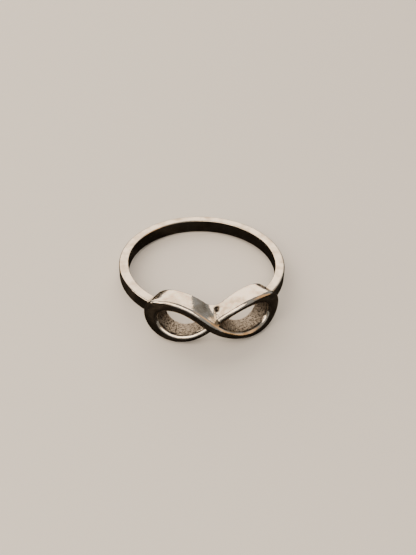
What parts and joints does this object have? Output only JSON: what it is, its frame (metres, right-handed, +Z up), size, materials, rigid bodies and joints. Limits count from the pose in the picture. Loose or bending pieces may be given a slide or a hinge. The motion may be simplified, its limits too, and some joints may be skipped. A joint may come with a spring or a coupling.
{
  "type": "infinity ring",
  "caption": "Slim silver finger ring whose front is an open infinity figure of one deep bar that crosses over itself.",
  "frame": {"origin": "on the surface that the ring lies on, under the middle of its width and depth", "axes": "+Z up, the infinity figure faces -Y, +X to the right as seen from the figure's front"},
  "size_m": [0.0194, 0.0214, 0.0056],
  "materials": {
    "silver": "polished silver with satin edge faces and a rough cast finish inside the lobes"
  },
  "bodies": {
    "root": {"infinity_ring": "silver"}
  },
  "joints": []
}
